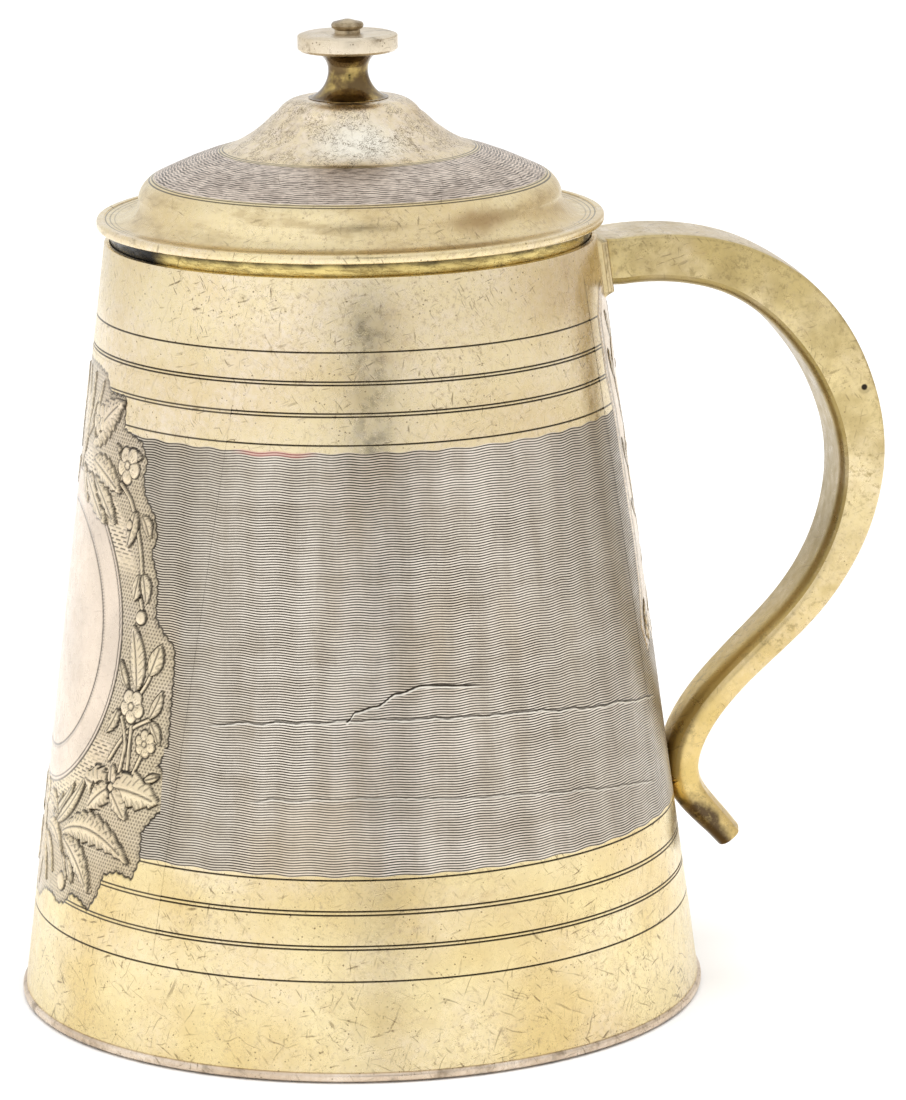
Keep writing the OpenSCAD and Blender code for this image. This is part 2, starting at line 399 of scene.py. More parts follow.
def gilt_material(name, worn=0.25, tarnish=0.0, roughness=0.26, light=GOLD, deep=DEEP_GOLD):
    """Worn gilding for plain pieces; tarnish 0..1 says how much of it is dark."""
    g = Graph(name)
    marks, height = wear(g)
    rubbed = g.smooth(g.noise(0.07, 3, None, 12.0), 0.35, 0.75, worn * 0.4, worn * 1.6)
    g.colour = gilt_colour(g, rubbed, light, deep)
    if tarnish:
        dark = g.smooth(g.noise(0.3, 4, None, 14.0, 0.6), 0.66 - 0.5 * tarnish, 0.86 - 0.42 * tarnish)
        g.paint(dark * min(1.0, tarnish + 0.25), TARNISH)
    g.paint(marks * 0.8, TARNISH)
    rough = g.patchy(roughness * 0.8, roughness * 1.35)
    return g.finish(rough, g.bump(height, 0.03))


def handle_material(name, light, deep, rim, limb):
    """Olive gilding, rubbed pink along the outer face, oxidised at the tail and darker close to the barrel.
    """
    g = Graph(name)
    marks, height = wear(g)
    outer = g.smooth(g.math("ABSOLUTE", g.y), 5.0, 6.9, rim, 0.0)
    rubbed = g.math("ADD", outer, g.smooth(g.noise(0.09, 3, None, 12.0), 0.45, 0.75, 0.0, 0.4), clamp=True)
    g.colour = gilt_colour(g, rubbed * 0.8, light, deep)
    olive = g.smooth(g.noise(0.11, 4, (1, 0.4, 1), 41.0, 0.6), 0.46, 0.7, 0.0, 0.65)
    g.paint(olive, (0.40, 0.30, 0.12))
    # the lower limb takes the limb colour; in the inner strip this is painted light, lifting the face the
    # barrel shades
    low = g.smooth(g.z, 30, 76, 0.8, 0.0)
    g.paint(low, limb)
    # the tail's brown patch, and darker brown gilding where the handle meets the barrel
    tail_x, tail_z = g.x - TAIL_PATCH[0], g.z - TAIL_PATCH[1]
    along = (tail_x * 0.62 - tail_z * 0.78) * 0.22
    across = (tail_x * 0.78 + tail_z * 0.62) * 0.36
    away = g.length(along, across) + (g.noise(0.4, 4, None, 42.0) - 0.5) * 0.9
    g.paint(g.smooth(away, 1.1, 1.5, 0.95, 0.0), (0.075, 0.048, 0.03))
    gap = g.x - FOOT_R + g.z * (-SLOPE)
    gap = gap + (g.noise(0.35, 4, None, 43.0) - 0.5) * 5.0
    g.paint(g.smooth(gap, 0.1, 2.0, 0.45, 0.0), (0.44, 0.29, 0.08))
    speck = g.smooth(g.noise(0.8, 5, None, 48.0, 0.78), 0.5, 0.64)
    speck = speck * g.smooth(g.noise(0.1, 3, None, 49.0), 0.4, 0.58, 0.15, 0.7)
    g.paint(speck, (0.33, 0.25, 0.11))
    g.paint(marks * 0.5, TARNISH)
    # vent hole on the near side
    vent = g.length(g.x - VENT[0], g.z - VENT[1])
    near = g.smooth(g.y, -6.0, -5.0, 1.0, 0.0)
    g.paint(g.smooth(vent, 0.35, 0.6, 1.0, 0.0) * near, INK)
    dent = g.smooth(vent, 0.4, 1.1, 1.0, 0.0) * near
    rough = g.patchy(0.24, 0.42)
    waves = g.noise(0.09, 2, None, 44.0) * 6.0
    normal = g.bump(height + waves - dent * 6.0, 0.04)
    return g.finish(rough, normal)


def silver_material(name, roughness=0.3):
    """Plain silver with fine scratches and grey bloom."""
    g = Graph(name)
    marks, height = wear(g)
    g.colour = g.mix(g.smooth(g.noise(0.1, 4, None, 2.0), 0.35, 0.7), SILVER, (0.45, 0.42, 0.37))
    g.paint(marks * 0.7, TARNISH)
    rough = g.smooth(g.noise(0.5, 4, None, 11.0), 0.2, 0.8, roughness * 0.8, roughness * 1.4)
    return g.finish(rough, g.bump(height, 0.02))


def barrel_material():
    """Gilt bands, grey wave-engraved band and the engraved cartouche."""
    g = Graph("barrel_metal")
    angle = g.math("ARCTAN2", g.y, g.x)
    marks, height = wear(g, angle * 45.0)
    arc = angle * 50.0
    scored = strokes(g, arc, g.z, 62, 6.5, 0.34, 14.0) + strokes(g, arc, g.z, -24, 6.0, 0.3, 16.0)
    crust = g.smooth(g.noise(1.6, 4, None, 61.0, 0.7), 0.6, 0.7)
    crust = crust * g.smooth(g.noise(0.09, 3, None, 62.0), 0.4, 0.6)
    low_wear = (scored * 0.55 + crust * 0.9) * g.smooth(g.z, 13.5, 16.0, 1.0, 0.3)
    marks = g.math("ADD", marks, low_wear, clamp=True)
    free = 1.0 - g.attribute("cartouche")

    # wave band: long wavy lines one above the other, each in step with its neighbours
    drift = g.noise(0.05, 2, (1, 1, 0.6), 21.0) * 5.0
    phase = angle * WAVES_ROUND + drift
    wave = g.sin(phase)
    slant = g.math("COSINE", phase)
    jitter = g.noise(0.4, 2, (1, 1, 4), 22.0) * 0.09
    line = g.math("DIVIDE", g.z - wave * 0.1 + jitter, WAVE_PITCH)
    along = g.math("COSINE", line * TAU)
    edge = wave * 0.13
    inside = g.span(g.z - edge, WAVE_LOW, WAVE_LOW + 0.15, WAVE_HIGH - 0.15, WAVE_HIGH) * free
    cut = g.smooth(along, -0.38, 0.25, 1.0, 0.0) * inside
    # painted sheen, partly uneven tone: the silver's upright and level light and dark bands, with a faint
    # step on each wave's slope, stand for light reflected by the engraved waves
    upright = g.noise(1.0, 4, g.combine(angle * 12.0, g.z * 0.035, 0.0), 23.0, 0.7)
    level = g.noise(0.22, 4, (0.3, 0.3, 1.5), 23.0, 0.62)
    painted_sheen_bands = upright * 0.5 + level * 0.5
    shade = g.smooth(slant * 0.035 + painted_sheen_bands, 0.3, 0.68)

    higher = g.smooth(g.z, 12, 100, 0.0, 0.42)
    gold = gilt_colour(g, higher + g.smooth(g.noise(0.06, 3, (1, 1, 1.4), 12.0), 0.35, 0.75, 0.0, 0.45))
    silver = g.mix(shade, (0.65, 0.57, 0.465), (0.93, 0.855, 0.75))
    around = g.degrees(angle)
    # painted shade: the wave band's silver darkens towards the barrel's left and right sides, away from its
    # front
    corners = g.smooth(around, 212, 258, 0.6, 0.0) + g.smooth(around, 282, 330, 0.0, 0.5)
    silver = g.mix(corners, silver, (0.42, 0.37, 0.29))
    brown = g.smooth(g.noise(0.05, 3, (1, 1, 0.5), 24.0), 0.5, 0.72, 0.0, 0.4)
    silver = g.mix(brown, silver, (0.70, 0.55, 0.36))
    g.colour = g.mix(inside, gold, silver)
    plain = g.attribute("plain")
    reserve = g.mix(g.smooth(g.noise(0.1, 4, None, 25.0), 0.35, 0.7), (0.78, 0.66, 0.55), (0.66, 0.56, 0.47))
    g.paint(plain * 0.9, reserve)
    spared = inside * 0.7 + plain * 0.6
    g.paint(marks * g.math("SUBTRACT", 0.85, spared, clamp=True), TARNISH)
    deep = g.smooth(g.noise(0.13, 3, (1, 1, 0.5), 27.0), 0.3, 0.7, 0.84, 0.98)
    g.paint(cut * deep, INK)
    g.paint(g.attribute("ink"), INK)

    # two pressed creases and a wandering crack in the wave band, bumped in; their dark lines are painted
    # shade in the creases and the crack's own dark line, with a painted highlight on the lip just below each
    wander = (g.noise(0.25, 4, None, 51.0) - 0.5) * 1.5
    faults, painted_lip_highlight = 0.0, 0.0
    for turn, summit, z, fall, strength in CREASES:
        away = g.math("COSINE", (around - summit) * math.radians(1))
        z = z - fall + away * fall
        span = g.span(around, turn[0], turn[0] + 3, turn[1] - 3, turn[1]) * strength
        level = g.z + wander
        faults = faults + g.band(level, z, 0.08, 0.14) * span
        painted_lip_highlight = painted_lip_highlight + g.band(level + 0.27, z, 0.07, 0.14) * span
    climb = CRACK[0][1]
    for (turn0, z0), (turn1, z1) in zip(CRACK, CRACK[1:]):
        climb = climb + g.smooth(around, turn0, turn1, 0.0, z1 - z0)
    start, end = CRACK[0][0], CRACK[-1][0]
    span = g.span(around, start - 0.4, start, end - 5, end)
    level = g.z + wander * 0.25
    faults = (faults + g.band(level, climb, 0.07, 0.13) * span) * inside
    painted_lip_highlight = (painted_lip_highlight + g.band(level + 0.32, climb, 0.06, 0.12) * span) * inside
    # painted highlight on each lip, then the dark lines: painted shade in the creases, dark line of the
    # crack
    g.paint(painted_lip_highlight * 0.75, (0.93, 0.88, 0.78))
    g.paint(g.math("MULTIPLY", faults, 0.95, clamp=True), INK)

    # a trace of red polish left under the wave band's upper edge
    polish = g.span(around, 235, 241, 249, 256) * g.band(g.z - edge, WAVE_HIGH - 0.35, 0.15, 0.4)
    g.paint(polish * 0.42, (0.62, 0.18, 0.15))

    # ring lines turned into the gilt bands, darkened by oxide
    rings = g.rings(g.z, LOWER_LINES + UPPER_LINES, 0.08, 0.1)
    g.paint(rings * free * 0.9, INK)

    rough = g.patchy(0.2, 0.34) + inside * 0.12
    normal = g.bump(height - faults * 4.0, 0.03)
    normal = g.bump(along * inside, 0.008, 0.5, normal)
    return g.finish(rough, normal)


def lid_material():
    """Gilt lid with a dark wave-engraved band, worn silvery slope, a painted highlight on the slope and
    painted reflections round the brim.
    """
    g = Graph("lid_metal")
    marks, height = wear(g)
    radius = g.length(g.x, g.y)
    angle = g.math("ARCTAN2", g.y, g.x)
    top = g.smooth(g.z, LID_Z + 1.0, LID_Z + 1.4)
    drift = g.noise(0.08, 2, None, 31.0) * 4.0
    wave = g.sin(angle * 60 + drift)
    line = g.math("DIVIDE", radius - wave * 0.06, 0.46)
    along = g.math("COSINE", line * TAU)
    inside = g.span(radius, 19.7, 19.9, 29.5, 29.7) * g.smooth(g.z, 125.0, 125.5)
    spread = g.combine(angle * 16.0, radius * 1.7, 0.0)
    deep = g.smooth(g.noise(1.0, 2, spread, 35.0), 0.38, 0.62, 0.45, 1.0)
    cut = g.smooth(along, -0.35, 0.6, 1.0, 0.0) * inside * deep
    dashes = g.noise(1.0, 2, g.combine(angle * 22.0, radius * 2.4, 0.0), 33.0, 0.6)
    shade = g.smooth(dashes * 0.6 + g.noise(0.2, 3, None, 34.0) * 0.4, 0.34, 0.66)
    worn = g.smooth(radius, 17.0, 21.0, 0.95, 0.3)
    gold = gilt_colour(g, worn)
    silver = g.mix(shade, (0.56, 0.47, 0.40), (0.90, 0.78, 0.67))
    g.colour = g.mix(inside, gold, silver)
    slope = g.smooth(radius, 18.6, 19.4, 1.0, 0.0) * top
    bloom = g.smooth(g.noise(0.35, 5, None, 36.0, 0.7), 0.46, 0.7, 0.0, 0.55)
    g.paint(slope * bloom, (0.56, 0.47, 0.37))
    around = g.degrees(angle)
    # painted highlight: a near-white patch on the slope where the light glints
    painted_highlight = g.length((around - 268) * 0.11, (radius - 14.5) * 0.8)
    painted_highlight = painted_highlight + g.noise(0.4, 3, None, 40.0) * 1.2
    g.paint(g.smooth(painted_highlight, 1.2, 5.0, 0.8, 0.0) * slope, (1.0, 0.97, 0.86))
    crazing = g.band(g.noise(0.9, 3, None, 37.0, 0.6, 1.5), 0.5, 0.006, 0.014)
    crazing = crazing + g.band(g.noise(1.3, 3, None, 45.0, 0.6, 1.0), 0.47, 0.006, 0.014)
    crazing = crazing * g.smooth(g.noise(0.3, 2, None, 38.0), 0.4, 0.54)
    g.paint(g.math("MULTIPLY", crazing * slope, 0.85, clamp=True), TARNISH)
    stain = g.length((around - 299) * 0.24, (g.z - 123.4) * 1.2)
    stain = stain + g.noise(0.4, 4, None, 39.0) * 2.4
    g.paint(g.smooth(stain, 1.6, 4.6, 0.75, 0.0), (0.34, 0.21, 0.09))
    # painted reflection: brownish streaks running round the brim stand for the dark soft reflections in it
    reflection_streaks = g.combine(angle * 4.0, g.z * 0.5, 0.0)
    reflection_streaks = g.smooth(g.noise(1.0, 4, reflection_streaks, 47.0, 0.65), 0.46, 0.68, 0.0, 0.62)
    g.paint(reflection_streaks * g.smooth(radius, 29.8, 30.8), (0.50, 0.38, 0.20))
    g.paint(marks * 0.6, TARNISH)
    g.paint(cut * 0.85, INK)
    rings = g.rings(radius, (19.15, 19.6, 29.85, 30.3, 35.6, 36.3, 37.0), 0.06, 0.09)
    g.paint(rings * top * 0.85, INK)
    rough = g.patchy(0.22, 0.36) + inside * 0.1
    normal = g.bump(height, 0.02)
    normal = g.bump(along * inside, 0.01, 0.5, normal)
    return g.finish(rough, normal)


def bezel_material():
    """Bright deep gilding with slanting file marks, painted shade in the corner under the lid's edge and
    painted shadow at the ends of the lid's gap.
    """
    g = Graph("bezel_metal")
    angle = g.math("ARCTAN2", g.y, g.x)
    slant = g.combine(angle * 12.0 + g.z * 0.7, g.z * 1.4, 0.0)
    file_marks = g.smooth(g.noise(1.3, 5, slant, 3.0, 0.75), 0.45, 0.7)
    marks, height = wear(g)
    g.colour = g.mix(g.smooth(g.noise(0.12, 3, None, 5.0), 0.4, 0.7), (0.72, 0.57, 0.22), (0.52, 0.40, 0.15))
    g.paint(file_marks * 0.55, (0.22, 0.15, 0.05))
    g.paint(marks * 0.6, TARNISH)
    # painted shade: the bezel turns near black towards its top, in the corner under the lid's edge
    corner = g.z + g.noise(0.3, 3, None, 6.0) * 1.4
    g.paint(g.smooth(corner, LID_Z - 0.6, LID_Z + 0.7, 0.05, 0.95), INK)
    # painted shadow: near-black patches at the left and right ends, where the gap under the lid shows dark;
    # they ride with the lid when it lifts
    around = g.degrees(angle) + g.noise(0.2, 3, None, 7.0) * 8.0
    painted_gap_shadow = g.span(around, 140, 165, 211, 221)
    painted_gap_shadow = painted_gap_shadow + g.smooth(around, 334, 343) * g.smooth(around, 345, 357, 0.9, 0.0)
    g.paint(painted_gap_shadow, (0.004, 0.003, 0.002))
    normal = g.bump(file_marks * 0.5 + height, 0.05)
    return g.finish(g.smooth(file_marks, 0, 1, 0.22, 0.4), normal)


# ---------------------------------------------------------------- pieces


def under_sheet(points, middle, half, low, high):
    """True where a face of the wall lies wholly under an engraved sheet."""
    for x, y, z in points:
        r = math.hypot(x, y)
        turn = (math.atan2(y, x) - middle + math.pi) % TAU - math.pi
        if r < cone_r(z) - 0.3 or abs(turn) * r > half or not low < z < high:
            return False
    return True


def build_barrel(material):
    """Barrel wall all round, with real ring grooves and a rolled lip."""
    half = GROOVE_HALF
    breaks = [CART_LOW + 1, CART_HIGH - 1, REAR_LOW + 1, 62.0, 75.0]
    outside = [(cone_r(BARREL_LOW[2]), BARREL_LOW[2])]
    for z in sorted(LOWER_LINES + UPPER_LINES + tuple(breaks)):
        if z in breaks:
            outside.append((cone_r(z), z))
        else:
            outside += [(cone_r(z - half), z - half), (cone_r(z) - GROOVE_DEPTH, z),
                        (cone_r(z + half), z + half)]
    outside += [(cone_r(RIM_Z - 0.25), RIM_Z - 0.25), (RIM_R - 0.08, RIM_Z - 0.07), (RIM_R - 0.25, RIM_Z),
                (RIM_R - WALL + 0.2, RIM_Z), (RIM_R - WALL, RIM_Z - 0.2)]
    inside = [(cone_r(BARREL_LOW[2]) - WALL, BARREL_LOW[2])]

    def keep(points):
        return not (under_sheet(points, math.pi, CART_HALF - 1, CART_LOW, CART_HIGH)
                    or under_sheet(points, 0.0, REAR_HALF - 1, REAR_LOW, REAR_HIGH))

    return revolve("barrel_wall", outside + inside, material, "tankard", ("barrel",), count=512, keep=keep)


class Sheet:
    """A strip of the barrel's outside as a fine grid: s across, z up, both in millimetres."""

    def __init__(self, middle, half, low, high, step):
        self.middle, self.step = middle, step
        columns = int(round(2 * half / step)) + 1
        rows = int(round((high - low) / step)) + 1
        self.s, self.z = np.meshgrid(np.linspace(-half, half, columns), np.linspace(low, high, rows))
        self.relief = np.zeros_like(self.s)
        self.ink = np.zeros_like(self.s)
        self.cartouche = np.zeros_like(self.s)
        self.plain = np.zeros_like(self.s)

    def window(self, low, high):
        """Slices of the grid that hold the box from low to high."""
        s0, z0 = self.s[0, 0], self.z[0, 0]
        a = [max(0, int((low[0] - s0) / self.step) - 1), max(0, int((low[1] - z0) / self.step) - 1)]
        b = [int((high[0] - s0) / self.step) + 2, int((high[1] - z0) / self.step) + 2]
        return np.s_[a[1]:max(b[1], a[1] + 1), a[0]:max(b[0], a[0] + 1)]

    def over(self, where, cover, relief, ink):
        """Lays a shape on top: cover 0..1 says how much it hides what lies below."""
        self.relief[where] = self.relief[where] * (1 - cover) + relief * cover
        self.ink[where] = self.ink[where] * (1 - cover) + ink * cover
        self.plain[where] = self.plain[where] * (1 - cover) + 0.45 * cover

    def outline(self, where, distance, width=0.34, depth=0.09, dark=1.0):
        """An engraved line where distance is near 0."""
        line = np.exp(-(distance / (width * 0.55)) ** 4)
        self.ink[where] = np.maximum(self.ink[where], line * dark)
        self.relief[where] -= depth * line

    def leaf(self, base, tip, width, bend=0.0, teeth=0, veins=9, lift=0.2, dashes=False, blunt=0.75):
        """A leaf from base to tip, bowed sideways by bend, with teeth, a midrib and side veins."""
        base, tip = np.array(base, float), np.array(tip, float)
        reach = abs(bend) + width
        where = self.window(np.minimum(base, tip) - reach, np.maximum(base, tip) + reach)
        s, z = self.s[where], self.z[where]
        if s.size == 0:
            return
        axis = tip - base
        length = np.linalg.norm(axis)
        axis /= length
        ds, dz = s - base[0], z - base[1]
        u = (ds * axis[0] + dz * axis[1]) / length
        v = -ds * axis[1] + dz * axis[0] - bend * 4 * u * (1 - u)
        t = np.clip(u, 0, 1)
        half = width / 2 * np.sin(np.pi * t ** 0.85) ** blunt
        if teeth:
            saw = (t * teeth + 0.25 * np.sign(v)) % 1.0
            half = half * (1 - 0.28 * saw)
        half = np.maximum(half, 1e-3)
        edge = np.where((u > 0) & (u < 1), half - np.abs(v), -1.0)
        lit = 1 if axis[0] > 0 else -1                  # the shaded side is the lower one
        cover = np.clip(edge / 0.12 + 0.5, 0, 1)
        across = np.clip(np.abs(v) / half, 0, 1)
        dome = np.sqrt(1 - across ** 2 * 0.95)
        rib = np.exp(-(v / 0.15) ** 2) * (t < 0.9)
        vein = np.clip(np.cos(TAU * (t * veins - across * 1.3)) * 2.6 - 1.6, 0, 1)
        vein = vein * (across > 0.35) * (across < 0.85)
        shade = np.clip((across - 0.35) / 0.5, 0, 1) * (v * lit < 0)
        shade = shade * (0.55 + 0.45 * np.cos(TAU * t * veins * 1.5))
        ink = np.maximum.reduce([rib * 0.95, vein * 0.65, shade * 0.72])
        if dashes:
            row = np.exp(-((half - np.abs(v) - 0.75) / 0.16) ** 2)
            row = row * (np.sin(t * length * TAU / 0.9) > 0) * (v > 0)
            ink = np.maximum(ink, row * 0.85)
        self.over(where, cover, lift * dome - 0.09 * rib - 0.05 * vein, ink)
        self.outline(where, edge)

    def leaf_on(self, side, base, tip, width, bend, *more, **options):
        """The leaf on the right (side 1), or its mirror image on the left (side -1)."""
        self.leaf((side * base[0], base[1]), (side * tip[0], tip[1]), width, side * bend, *more, **options)

    def flower(self, centre, radius, petals=5, turn=0.3, lift=0.35):
        where = self.window(np.array(centre) - radius * 1.3, np.array(centre) + radius * 1.3)
        s, z = self.s[where] - centre[0], self.z[where] - centre[1]
        if s.size == 0:
            return
        away, angle = np.hypot(s, z), np.arctan2(z, s) + turn
        lobe = np.abs(np.cos(petals * angle / 2))
        edge = radius * (0.62 + 0.38 * lobe ** 0.45) - away
        cover = np.clip(edge / 0.12 + 0.5, 0, 1)
        split = np.exp(-((1 - lobe - 1) / 0.16) ** 2) * (away > radius * 0.2)
        rays = np.clip(np.cos(angle * petals * 4) * 2 - 1.2, 0, 1)
        rays = rays * (away < radius * 0.62) * (away > radius * 0.25)
        heart = np.exp(-((away - radius * 0.22) / 0.14) ** 2)
        dome = np.sin(np.pi * np.clip(away / radius, 0, 1)) * 0.7 + 0.4 * (away < radius * 0.22)
        ink = np.maximum.reduce([split, rays * 0.8, heart])
        self.over(where, cover, lift * dome * (0.5 + 0.5 * lobe), ink)
        self.outline(where, edge)

    def berry(self, centre, radius, lift=0.4):
        where = self.window(np.array(centre) - radius - 0.5, np.array(centre) + radius + 0.5)
        away = np.hypot(self.s[where] - centre[0], self.z[where] - centre[1])
        if away.size == 0:
            return
        cover = np.clip((radius - away) / 0.12 + 0.5, 0, 1)
        self.over(where, cover, lift * np.sqrt(np.clip(1 - (away / radius) ** 2, 0, 1)), np.zeros_like(away))
        self.outline(where, radius - away)

    def stem(self, points, width=0.75):
        """A ridge with a dark line along each side, through the points in turn."""
        points = [np.array(p, float) for p in points]
        curve = []
        for i in range(len(points) - 1):
            p = [points[max(i - 1, 0)], points[i], points[i + 1], points[min(i + 2, len(points) - 1)]]
            for t in np.linspace(0, 1, 9):
                curve.append(0.5 * (2 * p[1] + (p[2] - p[0]) * t
                                    + (2 * p[0] - 5 * p[1] + 4 * p[2] - p[3]) * t * t
                                    + (3 * p[1] - p[0] - 3 * p[2] + p[3]) * t ** 3))
        curve = np.array(curve)
        where = self.window(curve.min(0) - width, curve.max(0) + width)
        s, z = self.s[where], self.z[where]
        if s.size == 0:
            return
        away = np.full(s.shape, 1e9)
        for a, b in zip(curve, curve[1:]):
            d = b - a
            t = np.clip(((s - a[0]) * d[0] + (z - a[1]) * d[1]) / max(d @ d, 1e-9), 0, 1)
            away = np.minimum(away, np.hypot(s - a[0] - t * d[0], z - a[1] - t * d[1]))
        edge = width / 2 - away
        ridge = np.clip(1 - (away / (width / 2)) ** 2, 0, 1)
        self.over(where, np.clip(edge / 0.12 + 0.5, 0, 1), 0.2 * ridge, 0.0)
        self.outline(where, edge, 0.3)

    def border(self, points):
        """Signed distance to the outline (inside positive) and the way along it."""
        points = np.array(points, float)
        away = np.full(self.s.shape, 1e9)
        along = np.zeros_like(self.s)
        inside = np.zeros(self.s.shape, bool)
        run = 0.0
        for a, b in zip(points, np.roll(points, -1, axis=0)):
            d = b - a
            length = np.linalg.norm(d)
            t = np.clip(((self.s - a[0]) * d[0] + (self.z - a[1]) * d[1]) / length ** 2, 0, 1)
            here = np.hypot(self.s - a[0] - t * d[0], self.z - a[1] - t * d[1])
            nearer = here < away
            away = np.where(nearer, here, away)
            along = np.where(nearer, run + t * length, along)
            run += length
            crosses = (a[1] > self.z) != (b[1] > self.z)
            at = a[0] + (self.z - a[1]) * d[0] / (d[1] if abs(d[1]) > 1e-9 else 1e-9)
            inside ^= crosses & (self.s < at)
        return np.where(inside, away, -away), along

    def stipple(self, mask, pitch=0.62, dark=1.0):
        """Punched dots in staggered rows."""
        row = np.floor(self.z / (pitch * 0.87))
        u = (self.s / pitch + 0.5 * (row % 2)) % 1.0 - 0.5
        v = (self.z / (pitch * 0.87)) % 1.0 - 0.5
        dot = np.exp(-((np.hypot(u, v * 0.9)) / 0.34) ** 2)
        self.ink = np.maximum(self.ink, dot * dark * mask)
        self.relief -= 0.05 * dot * mask

    def hatch(self, mask, pitch=0.55, dark=0.95):
        """Short level strokes."""
        line = np.clip(np.cos(TAU * self.z / pitch) * 2 - 0.8, 0, 1)
        row = np.floor(self.z / pitch + 0.5)
        broken = np.sin(self.s * 3.1 + row * 2.4) > -0.55
        self.ink = np.maximum(self.ink, line * broken * dark * mask)
        self.relief -= 0.03 * line * mask

    def build(self, name, material, first, last, replaced):
        """The grid's rows first..last as a piece of the barrel's skin."""
        calm = 0.45 + 0.55 * np.clip((np.abs(self.s) - 8) / 10, 0, 1)
        r = cone_r(self.z) + 0.03 + self.relief * calm
        angle = self.middle + self.s / cone_r(self.z)
        points = np.stack([r * np.cos(angle), r * np.sin(angle), self.z], -1)
        across = np.gradient(points, axis=1)
        upward = np.gradient(points, axis=0)
        normals = np.cross(across, upward)
        normals /= np.linalg.norm(normals, axis=-1, keepdims=True)
        take = np.s_[first:last + 1]
        points, normals = points[take], normals[take]
        rows, columns = points.shape[:2]
        index = np.arange(rows * columns).reshape(rows, columns)
        faces = np.stack([index[:-1, :-1], index[:-1, 1:], index[1:, 1:], index[1:, :-1]], -1).reshape(-1, 4)
        fields = {"ink": self.ink * calm ** 0.35, "cartouche": self.cartouche, "plain": self.plain}
        return new_object(name, points.reshape(-1, 3), faces, material, "tankard", replaced,
                          attributes={k: np.clip(v[take], 0, 1).ravel() for k, v in fields.items()},
                          normals=normals.reshape(-1, 3))


# The wreath's right half: leaves as (base, tip, width, bow, teeth), then flowers, berries and stems
WREATH_EDGE = [
    (0, 99.8), (6, 99.8), (9.8, 99.1), (12, 96.6), (16.8, 96.9), (17.3, 92.2), (22.3, 90.9), (24.0, 88.2),
    (23.6, 86.2), (24.4, 83.4), (27.2, 80.4), (28.2, 77.4), (27.4, 75.3), (29.5, 71), (30, 65.8),
    (32, 63.7), (34.4, 61.9), (34.9, 58.6), (35.4, 51.2), (35.7, 47.3), (34.4, 44.2), (37.1, 41.8),
    (37.3, 39), (35, 36.8), (32.8, 34), (33.1, 29.6), (32, 26.8), (28.8, 27.3), (25.6, 26.2), (24.4, 22.5),
    (22.6, 20.2), (19.9, 21.2), (17, 21.4), (15.4, 19.6), (12.7, 18.9), (9.9, 19.8), (5.5, 19.4),
    (2.5, 17.4), (0, 16.8)]
WREATH_LEAVES = [
    ((2, 86), (4.6, 99), 3.6, 0.4, 6), ((3.8, 89), (9.3, 98.4), 2.4, 0, 0),
    ((7, 88.3), (17, 96.3), 6.4, 0.5, 7), ((2.5, 84.5), (7.5, 79.3), 3.4, 0, 5),
    ((5.5, 83.6), (15.4, 77.5), 4.8, 0.3, 6), ((9.5, 84), (18.4, 77.9), 3.4, 0.4, 5),
    ((8, 86.3), (19, 82.8), 4.6, 0.6, 6), ((18.4, 88.2), (23.2, 88.8), 2.4, 0.3, 0),
    ((20.2, 85.3), (16.0, 90), 2.2, 0, 0), ((23.3, 80.9), (22.2, 75.1), 2.6, 0, 0),
    ((24.8, 80.5), (27.1, 77.1), 2.1, 0.3, 0), ((25.9, 71.8), (25.3, 67.5), 2.4, 0, 0),
    ((26.6, 72), (28.1, 67.5), 2.3, 0.2, 0), ((28.6, 54.6), (25.9, 64.3), 3.4, -0.3, 0),
    ((30.8, 57.2), (32.3, 62.2), 3.1, 0, 0), ((26.4, 54.6), (23.9, 58.7), 1.7, 0.3, 0),
    ((31.7, 50.8), (33.6, 55.4), 2.1, -0.2, 0), ((32, 50.6), (34.4, 47.1), 1.9, 0.2, 0),
    ((24.9, 51.3), (22.4, 47.1), 2.4, 0.2, 4), ((5.5, 31), (10.6, 35.4), 1.9, -0.5, 0),
    ((6.5, 30.6), (14.8, 38), 2.1, -0.8, 0), ((8.5, 30.2), (18.6, 40), 2.3, -1, 0),
    ((2.5, 33), (9.5, 31.5), 2.8, 1.2, 4), ((4, 29.2), (12.6, 26.4), 3.4, 1.3, 4),
    ((2.5, 27.5), (9.2, 22.4), 3.2, 0.8, 5), ((0.5, 29), (6.3, 20.4), 3.6, -0.4, 5),
    ((12, 29.6), (31.4, 28.6), 5.6, 3.0, 9), ((12.4, 29), (22.8, 22.4), 4.8, 1.3, 6),
    ((12.6, 26.4), (15.2, 22.6), 1.9, 0.3, 0), ((14.6, 26.4), (17.2, 22.6), 2.1, 0.3, 0),
    ((25.2, 39.4), (20.4, 42), 2.6, 0, 3), ((25.2, 39.4), (29.3, 42.4), 2.6, 0, 3),
    ((25.2, 39.4), (18, 39.8), 6.2, 0.4, 4), ((25.2, 39.4), (19.8, 34.9), 4.6, -0.4, 3),
    ((25.2, 39.4), (35.8, 38.7), 6.2, 0.6, 4), ((25.2, 39.4), (29.6, 35), 3.8, 0, 3),
    ((25.2, 39.4), (25, 43), 2.2, 0, 0), ((32.2, 41.6), (35.4, 42.8), 1.5, 0, 0)]
WREATH_FLOWERS = [
    ((8.6, 92.3), 2.7, 5), ((19.8, 87.2), 3.0, 5), ((27.6, 52.1), 2.7, 5), ((31.4, 47), 2.2, 6)]
WREATH_BERRIES = [
    ((27.2, 65.4), 1.15), ((13.4, 22.2), 1.5), ((25.2, 39.4), 0.75), ((22.1, 78.6), 0.8)]
WREATH_STEMS = [
    [(18.4, 84.2), (21.8, 81.8), (24.9, 76), (26.3, 71.4)], [(28.9, 54), (30.2, 56), (31, 58)],
    [(31.8, 50.8), (27.4, 48.2), (23.8, 43.4)], [(25.6, 50.2), (27.1, 46.5), (26.5, 41.6)],
    [(28, 49.6), (28.3, 42.6)], [(31, 45.3), (29.4, 41.6)], [(27.2, 66.6), (26.6, 68)],
    [(32.2, 41.6), (29, 40.6)]]


